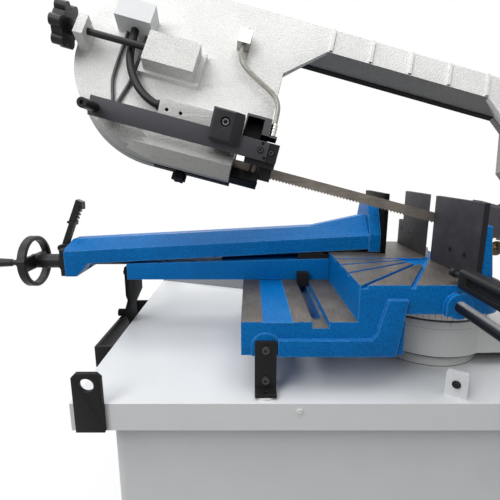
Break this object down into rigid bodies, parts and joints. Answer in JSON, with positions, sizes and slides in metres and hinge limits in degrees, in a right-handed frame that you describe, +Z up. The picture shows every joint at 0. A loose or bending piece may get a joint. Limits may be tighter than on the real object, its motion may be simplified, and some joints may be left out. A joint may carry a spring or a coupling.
{
  "type": "metal cutting band saw",
  "caption": "Mitring metal cutting band saw: leaning bow with toothed blade loop over a fan-grooved turntable table, quick-clamp vise, bar stop and sheet stand.",
  "frame": {"origin": "centre of the four floor anchor holes, on the floor", "axes": "+X from the hand wheel towards the bow pivot, +Y away from the operator, +Z up"},
  "size_m": [1.9517, 1.173, 1.5783],
  "materials": {
    "blue_paint": "satin enamel over cast iron, machined lands bare",
    "grey_casting": "light grey textured enamel",
    "white_sheet": "pale grey semi-gloss powder coat",
    "black_steel": "black oxide and black enamel",
    "black_plastic": "moulded black plastic",
    "bright_steel": "ground steel",
    "blade_steel": "tempered band steel, bright tooth tips",
    "wheel_iron": "machined cast iron",
    "brass": "turned brass",
    "black_rubber": "rubber sheath",
    "clear_hose": "clear vinyl"
  },
  "bodies": {
    "base": {"base_cabinet": "white_sheet", "base_tray": "white_sheet", "lifting_lugs": "black_steel", "turntable_seat": "grey_casting", "scale_ring": "bright_steel", "table_casting": "blue_paint", "support_bracket": "black_steel", "near_fixed_jaw": "black_steel", "far_fixed_jaw": "black_steel", "jaw_brackets": "blue_paint", "base_screws": "black_steel", "swivel_stop_block": "white_sheet", "stop_screw": "black_steel", "stop_rod": "bright_steel", "vise_rail": "black_steel"},
    "bar_stop": {"stop_arm": "black_steel", "stop_pin": "bright_steel"},
    "vise_carriage": {"vise_bar": "blue_paint", "slot_key": "bright_steel", "gib_block": "black_steel", "vise_hanger": "black_steel", "hanger_bolts": "black_steel", "spindle_nut": "brass"},
    "vise_slide": {"vise_arm": "blue_paint", "moving_jaw": "black_steel", "vise_end_plate": "black_steel"},
    "clamp_lever": {"clamp_lever": "black_steel"},
    "hand_wheel": {"lead_screw": "bright_steel", "hand_wheel": "black_plastic"},
    "crank_grip": {"crank_grip": "black_plastic"},
    "swivel": {"swivel_arm": "grey_casting", "pivot_shaft": "bright_steel"},
    "bow": {"bow_casting": "grey_casting", "bow_cover": "white_sheet", "cover_trim": "black_plastic", "blade": "blade_steel", "tension_slide": "black_steel", "gearbox": "grey_casting", "drive_motor": "grey_casting", "clamp_block": "black_steel", "hose_bracket": "black_steel", "lower_guard": "black_steel", "rear_guide": "black_steel", "terminal_box": "black_plastic", "cable_ends": "black_plastic", "switch_cables": "black_rubber", "power_hose": "black_rubber", "coolant_fittings": "brass", "coolant_hose": "clear_hose"},
    "drive_wheel": {"drive_wheel": "wheel_iron"},
    "idler_wheel": {"idler_wheel": "wheel_iron"},
    "tension_wheel": {"tension_wheel": "black_plastic"},
    "latch_knob": {"latch_knob": "black_plastic"},
    "blade_brush": {"blade_brush": "brass"},
    "guide": {"guide_arm": "black_steel", "guide_handle": "black_steel", "guide_head": "black_steel", "guide_screws": "black_steel"},
    "guide_roller_near": {"guide_roller_near": "bright_steel"},
    "guide_roller_far": {"guide_roller_far": "bright_steel"}
  },
  "joints": [
    {"name": "swivel", "type": "hinge", "parent": "base", "child": "swivel", "pos_m": [0.24, -0.091, 0.7], "axis": [0, 0, 1], "range_deg": [0, 60]},
    {"name": "bow_pivot", "type": "hinge", "parent": "swivel", "child": "bow", "pos_m": [0.6125, -0.091, 0.78], "axis": [0, 1, 0], "range_deg": [-14.56, 25]},
    {"name": "drive_spin", "type": "hinge", "parent": "bow", "child": "drive_wheel", "pos_m": [0.7206, -0.0084, 1.04704], "axis": [0.1062, -0.9063, 0.409], "continuous": true},
    {"name": "idler_spin", "type": "hinge", "parent": "bow", "child": "idler_wheel", "pos_m": [-0.42634, -0.0084, 1.34494], "axis": [0.1062, -0.9063, 0.409], "continuous": true},
    {"name": "tension_turn", "type": "hinge", "parent": "bow", "child": "tension_wheel", "pos_m": [-0.67993, -0.08272, 1.44661], "axis": [0.9679, 0, -0.2514], "range_deg": [-360, 360]},
    {"name": "latch_turn", "type": "hinge", "parent": "bow", "child": "latch_knob", "pos_m": [-0.39904, -0.10856, 1.11593], "axis": [0.2278, 0.4226, 0.8772], "range_deg": [-360, 360]},
    {"name": "brush_spin", "type": "hinge", "parent": "bow", "child": "blade_brush", "pos_m": [0.40897, -0.101, 0.90932], "axis": [0, 1, 0], "continuous": true},
    {"name": "guide_slide", "type": "slide", "parent": "bow", "child": "guide", "axis": [0.9679, 0, -0.2514], "range_m": [0, 0.1]},
    {"name": "near_roller_spin", "type": "hinge", "parent": "guide", "child": "guide_roller_near", "pos_m": [-0.22272, -0.10055, 1.11058], "axis": [0.2514, 0, 0.9679], "continuous": true},
    {"name": "far_roller_spin", "type": "hinge", "parent": "guide", "child": "guide_roller_far", "pos_m": [-0.22272, -0.08145, 1.11058], "axis": [0.2514, 0, 0.9679], "continuous": true},
    {"name": "vise_cross_slide", "type": "slide", "parent": "base", "child": "vise_carriage", "axis": [0, 1, 0], "range_m": [0, 0.04]},
    {"name": "vise_travel", "type": "slide", "parent": "vise_carriage", "child": "vise_slide", "axis": [1, 0, 0], "range_m": [-0.22, 0.06]},
    {"name": "hand_wheel_turn", "type": "hinge", "parent": "vise_slide", "child": "hand_wheel", "pos_m": [-0.882, 0.054, 0.838], "axis": [1, 0, 0], "range_deg": [-13200.1, 3600.1]},
    {"name": "crank_grip_spin", "type": "hinge", "parent": "hand_wheel", "child": "crank_grip", "pos_m": [-0.93, -0.01504, 0.84955], "axis": [1, 0, 0], "continuous": true},
    {"name": "lever_swing", "type": "hinge", "parent": "vise_slide", "child": "clamp_lever", "pos_m": [-0.784, 0.054, 0.884], "axis": [0, 1, 0], "range_deg": [-45, 0]},
    {"name": "stop_travel", "type": "slide", "parent": "base", "child": "bar_stop", "axis": [0, 1, 0], "range_m": [-0.05, 0.06]}
  ],
  "couplings": [
    {"joint": "idler_spin", "follows": "drive_spin", "ratio": 1},
    {"joint": "brush_spin", "follows": "drive_spin", "ratio": 9.7725},
    {"joint": "near_roller_spin", "follows": "drive_spin", "ratio": -21.717},
    {"joint": "far_roller_spin", "follows": "drive_spin", "ratio": 21.717},
    {"joint": "hand_wheel_turn", "follows": "vise_travel", "rad_per_m": 1047.2}
  ]
}
